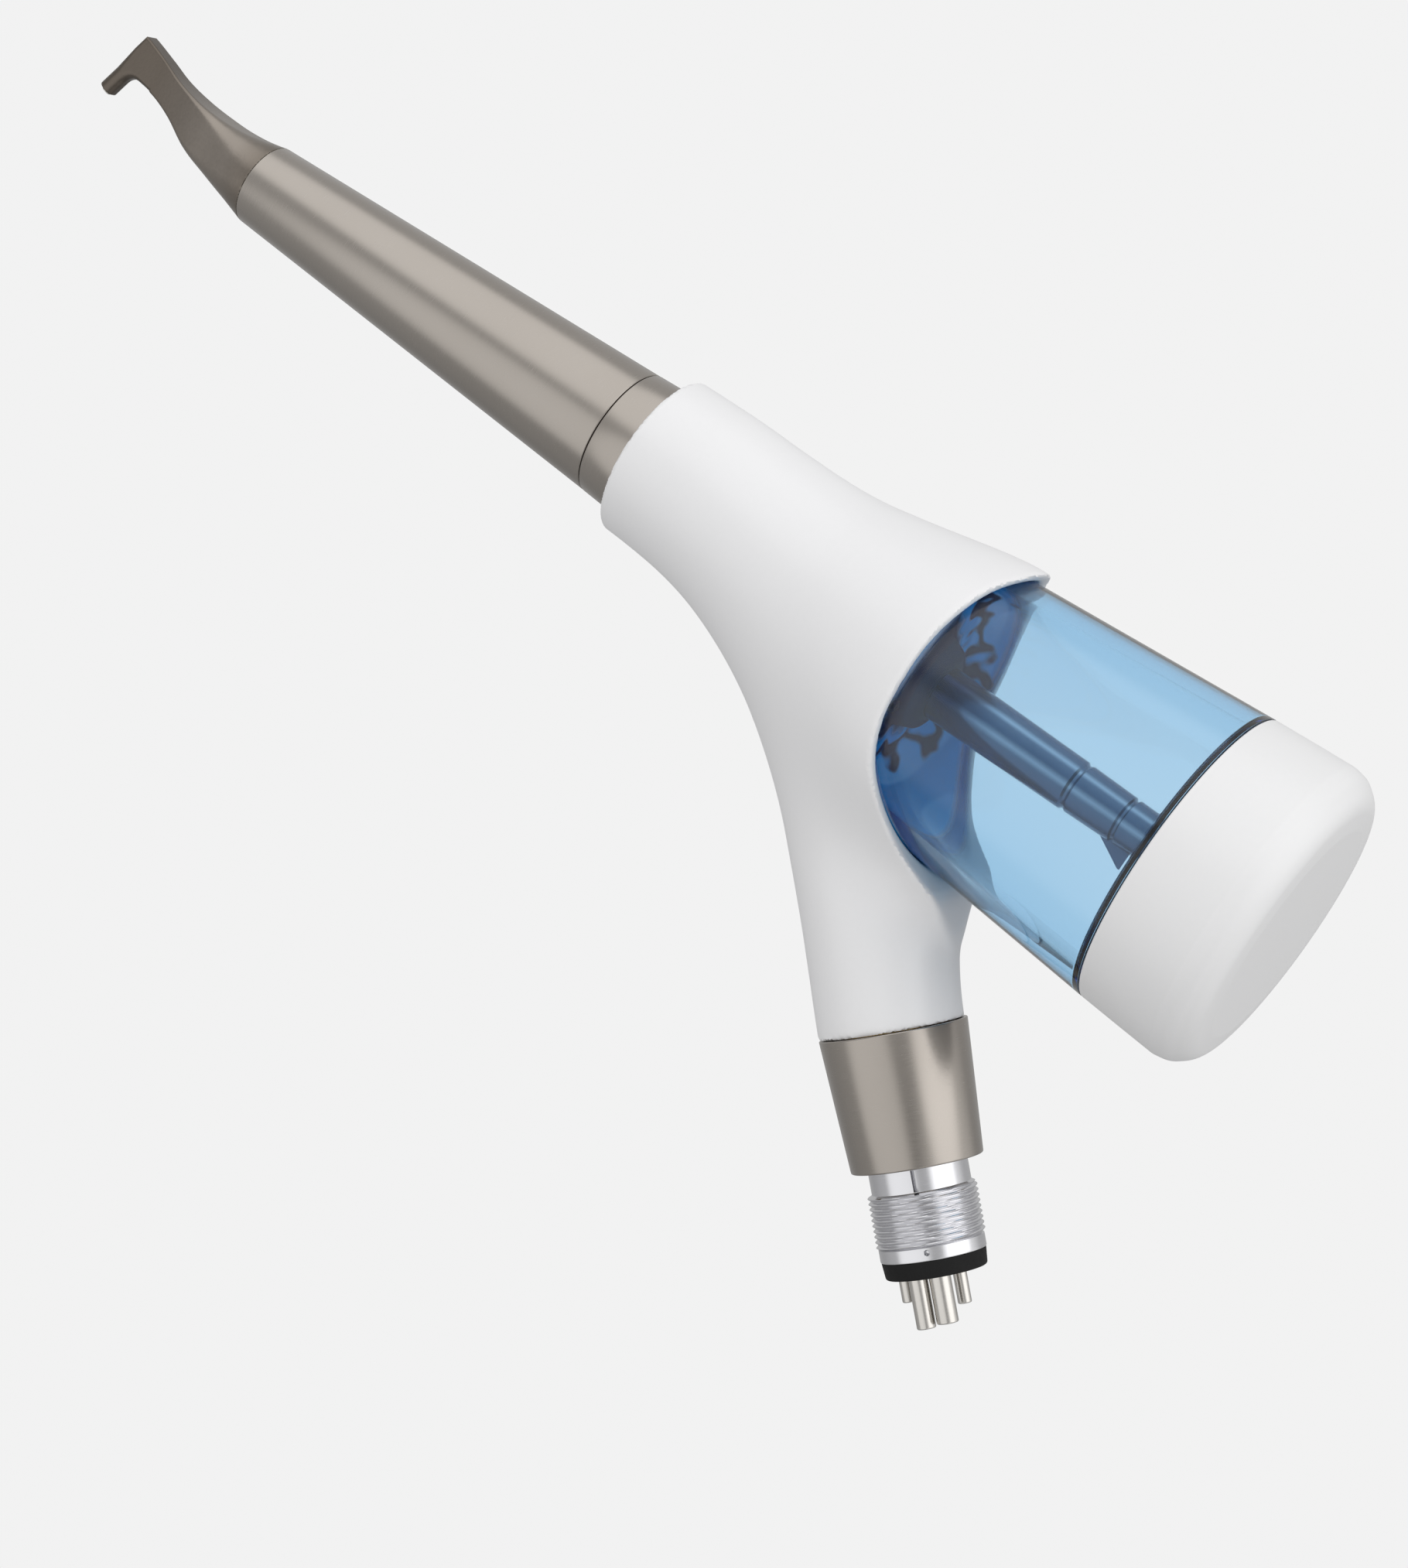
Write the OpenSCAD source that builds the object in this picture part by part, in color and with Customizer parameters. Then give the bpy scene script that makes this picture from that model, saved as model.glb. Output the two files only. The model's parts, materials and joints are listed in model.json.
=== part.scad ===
// Air-polishing dental handpiece: a bent spray head on a tapered metal barrel, a white
// Y-shaped housing with a see-through powder chamber, and a four-hole hose connector.
// The origin is the centre of the hose gasket's free face. +X runs from the spray head
// to the chamber cap, +Z is up, and the model is symmetric about the plane Y = 0.

/* [Front handpiece] */
// Radius of the barrel at the spray head
barrel_front_r = 5.1; // [4.9:0.1:5.6]
// Radius of the barrel at the collar
barrel_rear_r = 7.85; // [7.8:0.05:8.1]
// Length of the barrel
barrel_length = 55.6; // [50:0.5:65]
// Radius of the spray nozzle's outside
snout_r = 1.15; // [1.1:0.05:1.4]
// Lean of the spray nozzle forward of straight down
snout_lean = 21; // [10:1:30]

/* [Coupling] */
// Length of the fixed collar between barrel and housing
collar_length = 4.9; // [4:0.1:6]
// Radius of the coupling spindle
spindle_r = 4.55; // [4:0.05:4.6]
// Running clearance on the spindle and round the bush
running_gap = 0.05; // [0.03:0.01:0.08]

/* [Housing] */
// Height of the barrel's axis above the hose gasket
barrel_z = 58.7; // [56:0.1:61]
// Height of the chamber's axis above the hose gasket
chamber_z = 55.2; // [54:0.1:57]
// Wall of the housing shell
wall = 1.4; // [1.1:0.1:1.7]
// Angle of the tail below the horizontal
tail_angle = 46.5; // [44:0.5:49]
// Outer radius of the tail branch
tail_r = 8.45; // [8.2:0.05:8.7]
// Radius of the belly's bend, on the tail's centre line
bend_r = 38; // [34:1:42]

/* [Powder chamber] */
// Outer radius of the chamber at the cap
chamber_r = 18.3; // [17.5:0.1:19]
// Wall of the chamber
chamber_wall = 1.8; // [1.5:0.1:2.2]
// Radius of the air stem
stem_r = 2.6; // [2.3:0.1:2.8]
// Length of the cap
cap_length = 14.6; // [13:0.1:16]

/* [Hose connector] */
// Outer radius of the hose thread
thread_r = 6.25; // [6:0.05:6.4]
// Length of the hose thread
thread_length = 5.9; // [5:0.1:7]
// Thickness of the gasket
gasket_t = 2; // [1.5:0.1:2.5]
// Length of the metal ferrule
ferrule_length = 15.35; // [14:0.1:17]

/* [Hidden] */
$fn = 72;

// Stations along X, from the cap back to the spray head.
seam_x = -1.8;                                 // chamber and cap meet
lip_x = -31.5;                                 // upper lip of the housing
rim_x = -34.4;                                 // housing's rim beside the chamber
collar_rear_x = -78.2;                         // collar and housing meet
collar_front_x = collar_rear_x - collar_length;
barrel_rear_x = collar_front_x - 0.1;
barrel_front_x = barrel_rear_x - barrel_length;

// Stations along the tail, measured up from the gasket's free face.
connector_s = gasket_t;
thread_s = 3.7;
neck_s = thread_s + thread_length;
ferrule_s = neck_s + 2.8;
housing_s = ferrule_s + ferrule_length;
core_top_s = housing_s + 5.2;
valve_n = -2;                                  // the valve's offset towards the belly
valve_s = core_top_s + 0.1;
valve_length = 11;
valve_r = 3.4;
ball_r = 1.5;
seat_s = valve_s + 3;
ball_s = seat_s + 1.25;

// Colours.
titanium = [0.62, 0.59, 0.56];
head_metal = [0.42, 0.40, 0.36];
steel = [0.78, 0.79, 0.8];
chrome = [0.86, 0.87, 0.88];
brass = [0.8, 0.66, 0.36];
white_plastic = [0.9, 0.9, 0.9];
blue_clear = [0.3, 0.6, 0.85, 0.5];
grey_clear = [0.5, 0.58, 0.68];
black_rubber = [0.08, 0.08, 0.08];
hose_plastic = [0.85, 0.88, 0.9];

// A revolved solid on the X axis at height z: points are [radius, x].
module turned_x(points, z) {
    translate([0, 0, z]) rotate([0, 90, 0]) rotate_extrude($fn = 96) polygon(points);
}
// A revolved solid on the tail's axis: points are [radius, distance up from the gasket].
module turned_tail(points) at_tail() rotate_extrude($fn = 96) polygon(points);
// A rod along X from x0 to x1.
module rod_x(x0, x1, r, z, y = 0) {
    translate([x0, y, z]) rotate([0, 90, 0]) cylinder(h = x1 - x0, r = r);
}
// The tail's frame: local Z runs up the tail, local X to its rear side.
module at_tail(s = 0, n = 0, y = 0) {
    rotate([0, tail_angle - 90, 0]) translate([n, y, s]) children();
}
// A ring of round section on the X axis.
module ring_x(x, r_mid, r_section, z, sweep = 360) {
    translate([x, 0, z]) rotate([0, 90, 0]) rotate_extrude(angle = sweep, $fn = 96)
        translate([r_mid, 0]) circle(r = r_section, $fn = 32);
}
// A straight round bar from point a to point b.
module bar(a, b, r) {
    d = b - a;
    translate(a) rotate([0, acos(d[2] / norm(d)), atan2(d[1], d[0])])
        cylinder(h = norm(d), r = r, $fn = 48);
}
// A hose or thin pipe swept along a path near the plane Y = 0: rings of the outer wall, then of the bore.
module hose(path, r_out, r_in, sides = 20) {
    n = len(path);
    rings = [for (r = [r_out, r_in]) for (i = [0 : n - 1]) let(
        ahead = path[min(n - 1, i + 1)] - path[max(0, i - 1)], along = ahead / norm(ahead),
        across = cross([0, 1, 0], along) / norm(cross([0, 1, 0], along)), up = cross(along, across))
        for (a = [0 : 360 / sides : 359]) path[i] + r * (cos(a) * across + sin(a) * up)];
    function at(wall, i, k) = (wall * n + i) * sides + k % sides;
    outer = [for (i = [0 : n - 2]) for (k = [0 : sides - 1])
        [at(0, i, k), at(0, i, k + 1), at(0, i + 1, k + 1), at(0, i + 1, k)]];
    bore = [for (i = [0 : n - 2]) for (k = [0 : sides - 1])
        [at(1, i, k), at(1, i + 1, k), at(1, i + 1, k + 1), at(1, i, k + 1)]];
    ends = [for (k = [0 : sides - 1]) each [[at(0, 0, k), at(1, 0, k), at(1, 0, k + 1), at(0, 0, k + 1)],
        [at(0, n - 1, k), at(0, n - 1, k + 1), at(1, n - 1, k + 1), at(1, n - 1, k)]]];
    polyhedron(rings, concat(outer, bore, ends), convexity = 6);
}
// Points of a smooth bend from a to c round the corner b.
function bend(a, b, c, steps = 6) =
    [for (i = [0 : steps]) let(t = i / steps) (1 - t) * (1 - t) * a + 2 * t * (1 - t) * b + t * t * c];
// World place of a point in the tail's frame.
function tail_point(s, n = 0, y = 0) = [n * sin(tail_angle) - s * cos(tail_angle), y,
    n * cos(tail_angle) + s * sin(tail_angle)];
// Points of an arc about [cx, cy].
function arc(cx, cy, r, a0, a1, steps = 10) = [for (i = [0 : steps]) let(a = a0 + (a1 - a0) * i / steps)
    [cx + r * cos(a), cy + r * sin(a)]];

// ---- front handpiece ----

core_step_x = -99.2;                           // barrel bore narrows here
core_bore_r = spindle_r + running_gap;
bush_wall = 0.6;
core_r = 6.3;
core_nose_x = -106;
barrel_bore_r = 4.1;
spigot_length = 5.5;
powder_tube_r = 1.2;
water_tube_r = 0.7;
water_offset = -3;                             // water tube's place below the barrel's axis
snout_end = [-163.88, 0, 57.4];
snout_dir = [-sin(snout_lean), 0, -cos(snout_lean)];
elbow = snout_end - 5.2 * snout_dir;
elbow_r = 1;
head_base = [barrel_front_x, 0, barrel_z];

// A flat-sided cross piece of the head: two rods across it, one at the top and one below.
module head_rib(top, bottom, width, edge_r) {
    for (p = [top, bottom]) translate([p[0], -width / 2, p[1]]) rotate([-90, 0, 0])
        cylinder(h = width, r = edge_r, $fn = 24);
}
module rib_neck() head_rib([-146.8, 62.2], [-145.6, 56.4], 6.4, 0.6);
module rib_waist() head_rib([-153.6, 62.9], [-152.6, 58.9], 3.6, 0.5);
module rib_tip() head_rib([-161.3, 65.2], [-160.6, 60.6], 2.5, 0.4);

module nozzle_head() color(head_metal) difference() {
    union() {
        hull() {
            rod_x(barrel_front_x - 0.4, barrel_front_x, barrel_front_r, barrel_z);
            rib_neck();
        }
        hull() {
            rib_neck();
            rib_waist();
        }
        hull() {
            rib_waist();
            rib_tip();
        }
        bar(snout_end, snout_end - 8 * snout_dir, snout_r);
        rod_x(barrel_front_x - 0.4, barrel_front_x + spigot_length, barrel_bore_r, barrel_z);
    }
    rod_x(barrel_front_x - 3, barrel_front_x + spigot_length + 1, 1.5, barrel_z);
    rod_x(barrel_front_x - 1, barrel_front_x + spigot_length + 1, water_tube_r, barrel_z + water_offset);
    bar(head_base - [3, 0, 0], elbow, 0.85);
    translate(elbow) sphere(r = elbow_r, $fn = 48);
    bar(elbow, snout_end + snout_dir, 0.85);
}

// The nozzle's path: straight from the barrel, up the neck, then round the elbow.
neck_dir = (elbow - (head_base - [3, 0, 0])) / norm(elbow - (head_base - [3, 0, 0]));
nozzle_path = concat([head_base - [1, 0, 0]], bend(head_base - [2, 0, 0], head_base - [3, 0, 0],
    head_base - [3, 0, 0] + neck_dir, 4), bend(elbow - neck_dir, elbow, elbow + snout_dir, 6),
    [snout_end + 0.3 * snout_dir]);
module powder_nozzle() color(steel) hose(nozzle_path, 0.6, 0.38, 16);

module barrel() color(titanium) turned_x([[barrel_bore_r, barrel_front_x],
    [barrel_front_r, barrel_front_x], [barrel_rear_r, barrel_rear_x], [core_r, barrel_rear_x],
    [core_r, core_step_x], [barrel_bore_r, core_step_x]], barrel_z);

module front_bush() color(brass) difference() {
    rod_x(barrel_front_x + spigot_length, barrel_front_x + spigot_length + 4, barrel_bore_r, barrel_z);
    rod_x(barrel_front_x, barrel_front_x + 12, powder_tube_r, barrel_z);
    rod_x(barrel_front_x, barrel_front_x + 12, water_tube_r, barrel_z + water_offset);
}

module powder_tube() color(steel) difference() {
    rod_x(barrel_front_x - 0.8, core_step_x - 1, powder_tube_r, barrel_z);
    rod_x(barrel_front_x - 2, core_step_x, 0.8, barrel_z);
}

module water_tube_front() color(steel) difference() {
    rod_x(barrel_front_x, core_step_x - 1, water_tube_r, barrel_z + water_offset);
    rod_x(barrel_front_x - 1, core_step_x, 0.4, barrel_z + water_offset);
}

module barrel_core() color(brass) difference() {
    turned_x([[0, core_nose_x], [barrel_bore_r, core_nose_x], [barrel_bore_r, core_step_x],
        [core_r, core_step_x], [core_r, barrel_rear_x - 1], [spindle_r + 0.2, barrel_rear_x - 1],
        [spindle_r + 0.2, barrel_rear_x - 1.6],
        [core_bore_r + bush_wall + running_gap, barrel_rear_x - 1.6],
        [core_bore_r + bush_wall + running_gap, core_step_x + 0.4], [0, core_step_x + 0.4]], barrel_z);
    rod_x(core_nose_x - 1, core_step_x - 1, powder_tube_r, barrel_z);
    rod_x(core_step_x - 1.1, core_step_x + 1, 0.8, barrel_z);
    rod_x(core_nose_x - 1, core_step_x - 1, water_tube_r, barrel_z + water_offset);
    rod_x(core_step_x - 1.1, core_step_x + 1, 0.4, barrel_z + water_offset);
}

module swivel_bush() color(brass) turned_x([[core_bore_r, core_step_x + 0.6],
    [core_bore_r + bush_wall, core_step_x + 0.6], [core_bore_r + bush_wall, barrel_rear_x - 1.8],
    [core_bore_r, barrel_rear_x - 1.8]], barrel_z);

// ---- coupling on the housing ----

groove_r = 3.6;
o_ring_half = (core_bore_r - groove_r) / 2 - 0.01;
o_ring_x = [-87.5, -90.5, -93.5];
clip_x = -96.6;
spindle_tip_x = core_step_x + 1;
flange_x = collar_rear_x + 4.2;
nipple_r = 1.6;
water_nipple_r = 0.6;
water_nipple_z = barrel_z - 4.4;
water_bore_r = 0.4;
collar_bore_r = 6.6;
collar_spigot_r = 6.9;
fit_gap = 0.03;                                // slack of a glued fit in the moulded housing

module front_collar() color(titanium) turned_x([[collar_bore_r, collar_front_x],
    [7.87, collar_front_x], [8.17, collar_rear_x], [collar_spigot_r - fit_gap, collar_rear_x],
    [collar_spigot_r - fit_gap, flange_x + 2], [collar_bore_r, flange_x + 2]], barrel_z);

module spindle() color(steel) difference() {
    union() {
        rod_x(spindle_tip_x, flange_x, spindle_r, barrel_z);
        rod_x(collar_front_x + 0.1, flange_x, collar_bore_r, barrel_z);
        rod_x(flange_x, flange_x + 5, nipple_r, barrel_z);
        rod_x(flange_x, flange_x + 4, water_nipple_r, water_nipple_z);
    }
    for (x = o_ring_x) spindle_groove(x, o_ring_half + 0.15);
    spindle_groove(clip_x, 0.45);
    rod_x(spindle_tip_x - 1, flange_x + 6, 0.9, barrel_z);
    rod_x(o_ring_x[1] - 1.9, collar_rear_x + 1, water_bore_r, water_nipple_z + 1.6);
    rod_x(collar_rear_x, flange_x + 6, water_bore_r, water_nipple_z);
    translate([collar_rear_x + 0.5, 0, water_nipple_z - 0.4]) cylinder(h = 2.4, r = water_bore_r);
    translate([o_ring_x[1] - 1.5, 0, barrel_z - spindle_r - 1]) cylinder(h = 3, r = water_bore_r);
}
module spindle_groove(x, half) turned_x([[groove_r, x - half], [spindle_r + 1, x - half],
    [spindle_r + 1, x + half], [groove_r, x + half]], barrel_z);

module spindle_o_ring(i) color(black_rubber)
    ring_x(o_ring_x[i], groove_r + o_ring_half, o_ring_half, barrel_z);
module spindle_o_ring_1() spindle_o_ring(0);
module spindle_o_ring_2() spindle_o_ring(1);
module spindle_o_ring_3() spindle_o_ring(2);

module snap_ring() color(steel) translate([clip_x - 0.4, 0, barrel_z]) rotate([0, 90, 0])
    rotate_extrude(angle = 300, $fn = 96) translate([groove_r, 0])
        square([spindle_r - groove_r + 0.02, 0.8]);

// ---- housing ----

// The front branch opens from the collar to the chamber's cup: [x, radius] of its sections.
flare = [[-78.2, 8.17], [-71, 8.75], [-65, 9.5], [-59, 10.8], [-53, 12.4], [-47.2, 14.1], [-41.7, 15.7],
    [-37, 17], [-34, 17.4], [-18, 17.5]];
// Its axis drops smoothly from the barrel's to the chamber's.
function flare_share(x) = min(1, max(0, (x - collar_rear_x) / (rim_x - collar_rear_x)));
function flare_z(x) = let(t = flare_share(x)) barrel_z + (chamber_z - barrel_z) * t * t * (3 - 2 * t);
bend_tangent = bend_r * tan(tail_angle / 2);
bend_s = barrel_z / sin(tail_angle) - bend_tangent;
bend_x = -barrel_z / tan(tail_angle) - bend_tangent;

module flare_slice(i, inset) translate([flare[i][0], 0, flare_z(flare[i][0])]) rotate([0, 90, 0])
    cylinder(h = 0.01, r = flare[i][1] - inset, $fn = 64);
module flare_body(inset) for (i = [0 : len(flare) - 2]) hull() {
    flare_slice(i, inset);
    flare_slice(i + 1, inset);
}
module tail_body(inset) {
    at_tail(housing_s + 0.1) cylinder(h = bend_s - housing_s - 0.1, r = tail_r - inset, $fn = 64);
    translate([bend_x, 0, barrel_z - bend_r]) rotate([90, 0, 0]) rotate([0, 0, 90 - tail_angle])
        rotate_extrude(angle = tail_angle, $fn = 128) translate([bend_r, 0])
            circle(r = tail_r - inset - 0.3, $fn = 48);
}
// Side outline of the rim: from the upper lip down past the chamber and back under it.
rim_bend = [-21.5, 50];
rim_curve = concat([[lip_x, 80], [lip_x, 71.5], [rim_x, 62]],
    arc(rim_bend[0], rim_bend[1], 12.9, 180, 270, 12));
module rim_cut() rotate([90, 0, 0]) linear_extrude(height = 60, center = true)
    polygon(concat(rim_curve, [[10, 36], [10, 80]]));

chamber_front_r = 15.6;
chamber_front_x = -38;
chamber_base_x = -42;
socket_gap = 0.15;
module chamber_bore() turned_x([[0, chamber_base_x - 0.6], [chamber_front_r - 1.6, chamber_base_x - 0.6],
    [chamber_front_r - 0.2, chamber_base_x + 2], [chamber_front_r + socket_gap, chamber_front_x],
    [chamber_r + socket_gap, seam_x], [0, seam_x]], chamber_z);

module housing() color(white_plastic) difference() {
    union() {
        flare_body(0);
        tail_body(0);
    }
    difference() {
        union() {
            flare_body(wall);
            tail_body(wall);
        }
        rod_x(collar_rear_x - 1, collar_rear_x + wall, 12, barrel_z);
    }
    rod_x(collar_rear_x - 1, collar_rear_x + 8, collar_spigot_r, barrel_z);
    at_tail(housing_s - 1) cylinder(h = 8, r = tail_r - wall);
    chamber_bore();
    rim_cut();
}

// ---- powder and air parts ----

hub_r = 7;
hub_x = -47.6;
stem_start_x = -49.6;
manifold_r = 9;
manifold_step_x = -48.7;                       // its slim front part starts here
manifold_slim_r = 6;
manifold_front_x = -54;
powder_port_z = chamber_z + 4.6;
air_n = -4.75;                                 // the air hose's place at its upper end
air_port = tail_point(61, air_n);
air_top = tail_point(72.4, air_n);
air_elbow = [-51.2, 0, chamber_z];

module manifold() color(steel) difference() {
    union() {
        rod_x(manifold_step_x, chamber_base_x - 0.1, manifold_r, chamber_z);
        rod_x(manifold_front_x, manifold_step_x, manifold_slim_r, chamber_z);
        rod_x(manifold_front_x - 5, manifold_front_x, nipple_r, powder_port_z);
        bar(air_top, air_port, nipple_r);
    }
    rod_x(hub_x, chamber_base_x + 1, hub_r, chamber_z);
    rod_x(stem_start_x, hub_x + 1, stem_r, chamber_z);
    bar(air_elbow, [hub_x, 0, chamber_z], 1.2);
    bar(air_elbow, air_top, 1);
    bar(air_top, air_port + 0.2 * (air_port - air_top), 1);
    translate(air_top) sphere(r = 1, $fn = 32);
    translate(air_elbow) sphere(r = 1.2, $fn = 32);
    rod_x(manifold_front_x - 6, hub_x + 1, 1.1, powder_port_z);
    turned_x([[7.6, chamber_base_x - 1.5], [9.5, chamber_base_x - 1.5], [9.5, chamber_base_x + 1],
        [7.6, chamber_base_x + 1]], chamber_z);
}

// The powder hose drops a little from the manifold's nipple to the spindle's.
powder_path = [[manifold_front_x - 0.2, 0, powder_port_z], [-60, 0, powder_port_z], [-62, 0, 59.7],
    [-64, 0, 59.4], [-66, 0, 59], [-67.6, 0, 58.8], [-69, 0, barrel_z], [flange_x + 0.2, 0, barrel_z]];
module powder_line() color(hose_plastic) hose(powder_path, 2.3, nipple_r + 0.05, 24);

air_line_s = valve_s + valve_length;
module air_line() color(hose_plastic) hose([tail_point(air_line_s + 0.1, valve_n),
    tail_point(air_line_s + 3.2, valve_n), tail_point(air_line_s + 5.2, valve_n - 0.25),
    tail_point(air_line_s + 8, valve_n - 1.2), tail_point(air_line_s + 10.4, air_n + 0.4),
    tail_point(air_line_s + 12.4, air_n), tail_point(62.5, air_n)], 2.2, nipple_r + 0.05, 24);

// The water hose passes beside the air hose and under the manifold, then up to the spindle.
water_path = [tail_point(core_top_s - 2, -2, 4.6), tail_point(core_top_s + 1, -2, 4.6),
    tail_point(46, -2, 4.6), tail_point(52, -2.6, 4.3), tail_point(57, -3.3, 3.8),
    tail_point(61, -3.7, 3.5), [-46.5, 3.5, 43.4], [-49, 3.5, 45.4], [-51.5, 3.5, 46.9], [-54, 3.4, 48.5], [-57, 3.1, 50.2], [-60, 2.5, 51.8],
    [-63, 1.7, 53.1], [-66, 0.8, 54], [-68.6, 0.1, 54.3], [flange_x + 0.6, 0, water_nipple_z]];
module water_line() color(hose_plastic) hose(water_path, 1, water_nipple_r + 0.05, 16);

module check_valve_body() color(brass) at_tail(valve_s, valve_n) difference() {
    union() {
        cylinder(h = valve_length, r = valve_r);
        cylinder(h = valve_length + 3, r = nipple_r);
    }
    translate([0, 0, -1]) cylinder(h = 4.2, r = 0.9);
    translate([0, 0, seat_s - valve_s]) cylinder(h = valve_length - 4.2, r = 1.9);
    translate([0, 0, 5]) cylinder(h = valve_length, r = 0.9);
}
module check_ball() color(steel) at_tail(ball_s, valve_n) sphere(r = ball_r, $fn = 48);
spring_turns = 3;
spring_wire = 0.2;
spring_bottom = ball_s + 1.75;
spring_top = valve_s + valve_length - 1.25;
spring_pitch = (spring_top - spring_bottom - 2 * spring_wire) / spring_turns;
module check_spring() color(steel) at_tail(0, valve_n) for (i = [0 : spring_turns])
    translate([0, 0, spring_bottom + spring_wire + i * spring_pitch])
        rotate_extrude($fn = 48) translate([1.1, 0]) circle(r = spring_wire, $fn = 16);

// ---- powder chamber ----

neck_r = 16;
neck_top_x = 5.6;
bore_r = chamber_r - chamber_wall;
base_in_x = chamber_base_x + 4;
module chamber() color(blue_clear) difference() {
    turned_x(concat([[0, hub_x], [hub_r - 0.05, hub_x], [hub_r - 0.05, chamber_base_x],
        [chamber_front_r - 3.2, chamber_base_x]],
        arc(chamber_front_r - 3.4, chamber_front_x - 0.2, 3.4, -75, 0, 8),
        [[chamber_r, seam_x], [neck_r, seam_x], [neck_r, neck_top_x], [neck_r - chamber_wall, neck_top_x],
        [neck_r - chamber_wall, seam_x - 0.4], [bore_r, seam_x - 3.2]],
        arc(chamber_front_r - chamber_wall - 3, chamber_front_x + 3.4, 3, 0, -80, 8),
        [[5, base_in_x], [4.6, base_in_x + 2.6], [0, base_in_x + 2.6]]), chamber_z);
    rod_x(hub_x - 1, base_in_x + 4, stem_r, chamber_z);
    rod_x(hub_x - 1, base_in_x + 4, 1, powder_port_z);
}

module chamber_seal() color(black_rubber) ring_x(chamber_base_x - 0.75, 8.5, 0.72, chamber_z);

stem_step_x = -15.5;
stem_end_x = 1.5;
stem_fit_r = stem_r - 0.02;
stem_slim_r = stem_r - 0.25;
module stem_tube() color(grey_clear) turned_x([[1.5, stem_start_x], [stem_fit_r, stem_start_x],
    [stem_fit_r, stem_step_x], [stem_slim_r, stem_step_x + 0.3], [stem_slim_r, -6.4], [stem_fit_r, -6.2],
    [stem_fit_r, -5.4], [stem_slim_r, -5.2], [stem_slim_r, stem_end_x], [1.5, stem_end_x]], chamber_z);

// The jet caps the stem and turns the air back into the powder through its side holes.
module stem_jet() color(grey_clear) difference() {
    union() {
        turned_x([[0, 3.2], [0, 4.6], [2.2, 4.6], [3, 3.8], [3, -3.2], [stem_slim_r, -3.2],
            [stem_slim_r, stem_end_x], [1.5, stem_end_x], [1.5, 3.2]], chamber_z);
        translate([-3, -0.5, chamber_z]) rotate([90, 0, 0]) translate([0, 0, -1]) linear_extrude(height = 1)
            polygon([[0, -2.8], [3, -2.8], [0, -5.2]]);
    }
    for (a = [0 : 90 : 270]) translate([2.4, 0, chamber_z]) rotate([a, 0, 0]) cylinder(h = 5, r = 0.45);
}

// ---- cap ----

cap_end_x = seam_x + cap_length;
cap_wide_r = 18.9;
cap_corner = 4;
cap_gap = 0.15;
seal_top_x = neck_top_x + 1.3;
module cap() color(white_plastic) turned_x(concat(
    [[neck_r + cap_gap, seam_x + 0.12], [chamber_r, seam_x + 0.12]],
    arc(cap_wide_r - cap_corner, cap_end_x - cap_corner - 1, cap_corner, 4, 84, 8),
    [[8, cap_end_x - 0.3], [0, cap_end_x], [0, cap_end_x - 2], [neck_r - 5, cap_end_x - 2.6],
    [neck_r - 2.6, cap_end_x - 3.8], [neck_r - 2.4, seal_top_x + 0.1],
    [neck_r + cap_gap, seal_top_x + 0.1]]), chamber_z);

module cap_seal() color(black_rubber) turned_x([[neck_r - chamber_wall, neck_top_x + 0.1],
    [neck_r - 0.3, neck_top_x + 0.1], [neck_r - 0.3, seal_top_x],
    [neck_r - chamber_wall, seal_top_x]], chamber_z);

// ---- tail ----

// Hose tubes: [offset to the rear, offset in Y, outer radius, bore radius, free length].
exhaust = [1.3, -2.6, 1.25, 0.8, 5.5];
drive_air = [-1.2, -2.95, 1.1, 0.7, 5.8];
water = [-3.8, -0.3, 0.8, 0.4, 3];
chip_air = [1.8, 2.2, 0.8, 0.4, 4.2];
hose_tubes = [exhaust, drive_air, water, chip_air];
tube_step = 0.2;                               // the tubes are thinner inside the connector
tube_top_s = 24;
core_socket_s = 18;
band_r = 6.05;
neck_r_out = 5.68;
core_out_r = 6.6;

module tube_holes(s0, s1, gap = -tube_step) for (t = hose_tubes) at_tail(s0, t[0], t[1])
    cylinder(h = s1 - s0, r = t[2] + gap);
module hose_tube(t) color(steel) at_tail(0, t[0], t[1]) difference() {
    union() {
        translate([0, 0, -t[4]]) cylinder(h = t[4], r = t[2]);
        cylinder(h = tube_top_s, r = t[2] - tube_step);
    }
    translate([0, 0, -t[4] - 1]) cylinder(h = tube_top_s + t[4] + 2, r = t[3]);
}
module exhaust_tube() hose_tube(exhaust);
module drive_air_tube() hose_tube(drive_air);
module water_tube() hose_tube(water);
module chip_air_tube() hose_tube(chip_air);

module rear_ferrule() color(titanium) turned_tail([[core_out_r, ferrule_s], [7.55, ferrule_s],
    [8.5, housing_s], [core_out_r, housing_s]]);

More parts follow.
